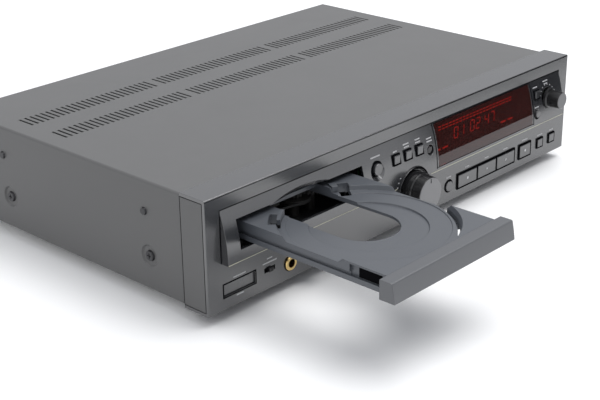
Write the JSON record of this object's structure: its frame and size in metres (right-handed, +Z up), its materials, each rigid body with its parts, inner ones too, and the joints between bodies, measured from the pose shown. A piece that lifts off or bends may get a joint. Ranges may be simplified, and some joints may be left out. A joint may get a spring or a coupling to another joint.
{
  "type": "disc recorder",
  "caption": "Full-width disc recorder with its disc tray run out, a curved control fascia with display window, keys and knobs, a slotted cover and a lifting drive inside.",
  "frame": {"origin": "on the surface that the feet stand on, under the middle of the cabinet without its tray", "axes": "+X to the right seen from the front, +Y to the rear (the way the tray closes), +Z up"},
  "size_m": [0.435, 0.4312, 0.0944],
  "materials": {
    "charcoal_paint": "satin",
    "charcoal_panel": "satin",
    "fascia_plastic": "semi-gloss",
    "window_tint": "glossy, tinted",
    "display_glass": "glossy",
    "dark_key": "semi-gloss",
    "sensor_dark": "glossy",
    "knob_black": "semi-gloss",
    "gold_plate": "polished",
    "zinc_sheet": "zinc plated",
    "screw_black": "black oxide",
    "foot_black": "matte",
    "board_green": "solder mask",
    "rear_paint": "satin",
    "jack_black": "moulded",
    "tray_plastic": "fine matte",
    "loader_black": "matte",
    "gear_white": "moulded",
    "motor_can": "bright",
    "belt_rubber": "matte",
    "bright_steel": "ground",
    "lens_glass": "coated"
  },
  "bodies": {
    "cabinet": {"chassis_pan": "zinc_sheet", "top_cover": "charcoal_paint", "front_panel": "charcoal_panel", "side_caps": "charcoal_panel", "control_fascia": "fascia_plastic", "display_window": "window_tint", "display_module": "display_glass", "sensor_dome": "sensor_dark", "knob_collar": "charcoal_panel", "headphone_socket": "gold_plate", "front_board": "board_green", "feet": "foot_black", "cover_screws": "screw_black", "small_screws": "screw_black", "rear_panel": "rear_paint", "main_board": "board_green", "power_board": "board_green", "rear_jacks": "jack_black", "mains_inlet": "jack_black", "loader_frame": "loader_black", "drive_cover": "zinc_sheet", "drive_brackets": "zinc_sheet", "clamp_bridge": "zinc_sheet", "loading_motor": "motor_can", "drive_belt": "belt_rubber"},
    "tray": {"tray": "tray_plastic", "tray_bezel": "charcoal_panel"},
    "drive_gear": {"drive_gear": "gear_white"},
    "belt_pulley": {"belt_pulley": "gear_white"},
    "motor_pulley": {"motor_pulley": "gear_white"},
    "cam_slider": {"cam_slider": "gear_white"},
    "traverse": {"traverse_frame": "motor_can", "spindle_motor": "motor_can", "guide_rods": "bright_steel", "sled_motor": "motor_can"},
    "turntable": {"turntable": "jack_black"},
    "sled": {"pickup_sled": "jack_black"},
    "lens": {"objective_lens": "lens_glass"},
    "lead_screw": {"lead_screw": "bright_steel"},
    "clamper": {"clamper": "jack_black"},
    "power_key": {"power_key": "dark_key"},
    "timer_slider": {"timer_slider": "dark_key"},
    "level_knob_outer": {"level_knob_outer": "knob_black"},
    "level_knob_inner": {"level_knob_inner": "knob_black"},
    "jog_shaft": {"jog_shaft": "knob_black"},
    "jog_dial": {"jog_dial": "knob_black"},
    "phones_knob": {"phones_knob": "knob_black"},
    "eject_key": {"eject_key": "dark_key"},
    "upper_key_1": {"upper_key_1": "dark_key"},
    "upper_key_2": {"upper_key_2": "dark_key"},
    "upper_key_3": {"upper_key_3": "dark_key"},
    "menu_key": {"menu_key": "dark_key"},
    "clear_key": {"clear_key": "dark_key"},
    "round_key": {"round_key": "dark_key"},
    "stop_key": {"stop_key": "dark_key"},
    "play_key": {"play_key": "dark_key"},
    "pause_key": {"pause_key": "dark_key"},
    "record_key": {"record_key": "dark_key"},
    "skip_back_key": {"skip_back_key": "dark_key"},
    "skip_forward_key": {"skip_forward_key": "dark_key"}
  },
  "joints": [
    {"name": "tray_slide", "type": "slide", "parent": "cabinet", "child": "tray", "axis": [0, 1, 0], "range_m": [0, 0.132]},
    {"name": "drive_gear_spin", "type": "hinge", "parent": "cabinet", "child": "drive_gear", "pos_m": [-0.092, -0.12, 0.0592], "axis": [0, 0, 1], "range_deg": [0, 631]},
    {"name": "belt_pulley_spin", "type": "hinge", "parent": "cabinet", "child": "belt_pulley", "pos_m": [-0.109, -0.12, 0.0592], "axis": [0, 0, 1], "range_deg": [-1513, 0]},
    {"name": "motor_pulley_spin", "type": "hinge", "parent": "cabinet", "child": "motor_pulley", "pos_m": [-0.149, -0.12, 0.0592], "axis": [0, 0, 1], "range_deg": [-5835, 0]},
    {"name": "cam_slide", "type": "slide", "parent": "cabinet", "child": "cam_slider", "axis": [1, 0, 0], "range_m": [0, 0.022]},
    {"name": "traverse_tilt", "type": "hinge", "parent": "cabinet", "child": "traverse", "pos_m": [-0.127, 0.01, 0.0545], "axis": [-1, 0, 0], "range_deg": [0, 5.47]},
    {"name": "turntable_spin", "type": "hinge", "parent": "traverse", "child": "turntable", "pos_m": [-0.127, -0.07362, 0.0465], "axis": [0, -0.0952, 0.9955], "continuous": true},
    {"name": "sled_slide", "type": "slide", "parent": "traverse", "child": "sled", "axis": [0, 0.9955, 0.0952], "range_m": [0, 0.031]},
    {"name": "lead_screw_spin", "type": "hinge", "parent": "traverse", "child": "lead_screw", "pos_m": [-0.1596, -0.0321, 0.05359], "axis": [0, 0.9955, 0.0952], "range_deg": [0, 3720]},
    {"name": "lens_float", "type": "slide", "parent": "sled", "child": "lens", "axis": [0, -0.0952, 0.9955], "range_m": [-0.0004, 0.0004], "stiffness_N_per_m": 100},
    {"name": "clamper_spin", "type": "hinge", "parent": "cabinet", "child": "clamper", "pos_m": [-0.127, -0.074, 0.073], "axis": [0, 0, 1], "continuous": true},
    {"name": "power_key_push", "type": "slide", "parent": "cabinet", "child": "power_key", "axis": [0, 1, 0], "range_m": [0, 0.003]},
    {"name": "timer_slide", "type": "slide", "parent": "cabinet", "child": "timer_slider", "axis": [1, 0, 0], "range_m": [-0.003, 0.003]},
    {"name": "level_outer_turn", "type": "hinge", "parent": "cabinet", "child": "level_knob_outer", "pos_m": [-0.0045, -0.142, 0.0385], "axis": [0, 1, 0], "range_deg": [-150, 150]},
    {"name": "level_inner_turn", "type": "hinge", "parent": "cabinet", "child": "level_knob_inner", "pos_m": [-0.0045, -0.142, 0.0385], "axis": [0, 1, 0], "range_deg": [-150, 150]},
    {"name": "jog_push", "type": "slide", "parent": "cabinet", "child": "jog_shaft", "axis": [0, 1, 0], "range_m": [0, 0.0005], "stiffness_N_per_m": 800},
    {"name": "jog_turn", "type": "hinge", "parent": "jog_shaft", "child": "jog_dial", "pos_m": [0.1818, -0.142, 0.0655], "axis": [0, 1, 0], "continuous": true},
    {"name": "phones_turn", "type": "hinge", "parent": "cabinet", "child": "phones_knob", "pos_m": [-0.118, -0.142, 0.0217], "axis": [0, 1, 0], "range_deg": [-150, 150]},
    {"name": "eject_key_push", "type": "slide", "parent": "cabinet", "child": "eject_key", "axis": [0, 1, 0], "range_m": [0, 0.0008], "stiffness_N_per_m": 500},
    {"name": "upper_key_1_push", "type": "slide", "parent": "cabinet", "child": "upper_key_1", "axis": [0, 1, 0], "range_m": [0, 0.0008], "stiffness_N_per_m": 500},
    {"name": "upper_key_2_push", "type": "slide", "parent": "cabinet", "child": "upper_key_2", "axis": [0, 1, 0], "range_m": [0, 0.0008], "stiffness_N_per_m": 500},
    {"name": "upper_key_3_push", "type": "slide", "parent": "cabinet", "child": "upper_key_3", "axis": [0, 1, 0], "range_m": [0, 0.0008], "stiffness_N_per_m": 500},
    {"name": "menu_key_push", "type": "slide", "parent": "cabinet", "child": "menu_key", "axis": [0, 1, 0], "range_m": [0, 0.0008], "stiffness_N_per_m": 500},
    {"name": "clear_key_push", "type": "slide", "parent": "cabinet", "child": "clear_key", "axis": [0, 1, 0], "range_m": [0, 0.0008], "stiffness_N_per_m": 500},
    {"name": "round_key_push", "type": "slide", "parent": "cabinet", "child": "round_key", "axis": [0, 1, 0], "range_m": [0, 0.0008], "stiffness_N_per_m": 500},
    {"name": "stop_key_push", "type": "slide", "parent": "cabinet", "child": "stop_key", "axis": [0, 1, 0], "range_m": [0, 0.0008], "stiffness_N_per_m": 500},
    {"name": "play_key_push", "type": "slide", "parent": "cabinet", "child": "play_key", "axis": [0, 1, 0], "range_m": [0, 0.0008], "stiffness_N_per_m": 500},
    {"name": "pause_key_push", "type": "slide", "parent": "cabinet", "child": "pause_key", "axis": [0, 1, 0], "range_m": [0, 0.0008], "stiffness_N_per_m": 500},
    {"name": "record_key_push", "type": "slide", "parent": "cabinet", "child": "record_key", "axis": [0, 1, 0], "range_m": [0, 0.0008], "stiffness_N_per_m": 500},
    {"name": "skip_back_key_push", "type": "slide", "parent": "cabinet", "child": "skip_back_key", "axis": [0, 1, 0], "range_m": [0, 0.0008], "stiffness_N_per_m": 500},
    {"name": "skip_forward_key_push", "type": "slide", "parent": "cabinet", "child": "skip_forward_key", "axis": [0, 1, 0], "range_m": [0, 0.0008], "stiffness_N_per_m": 500}
  ],
  "couplings": [
    {"joint": "drive_gear_spin", "follows": "tray_slide", "rad_per_m": 83.333},
    {"joint": "belt_pulley_spin", "follows": "tray_slide", "rad_per_m": -200},
    {"joint": "motor_pulley_spin", "follows": "tray_slide", "rad_per_m": -771.43},
    {"joint": "traverse_tilt", "follows": "cam_slide", "rad_per_m": 4.3356},
    {"joint": "lead_screw_spin", "follows": "sled_slide", "rad_per_m": 2094.4}
  ]
}
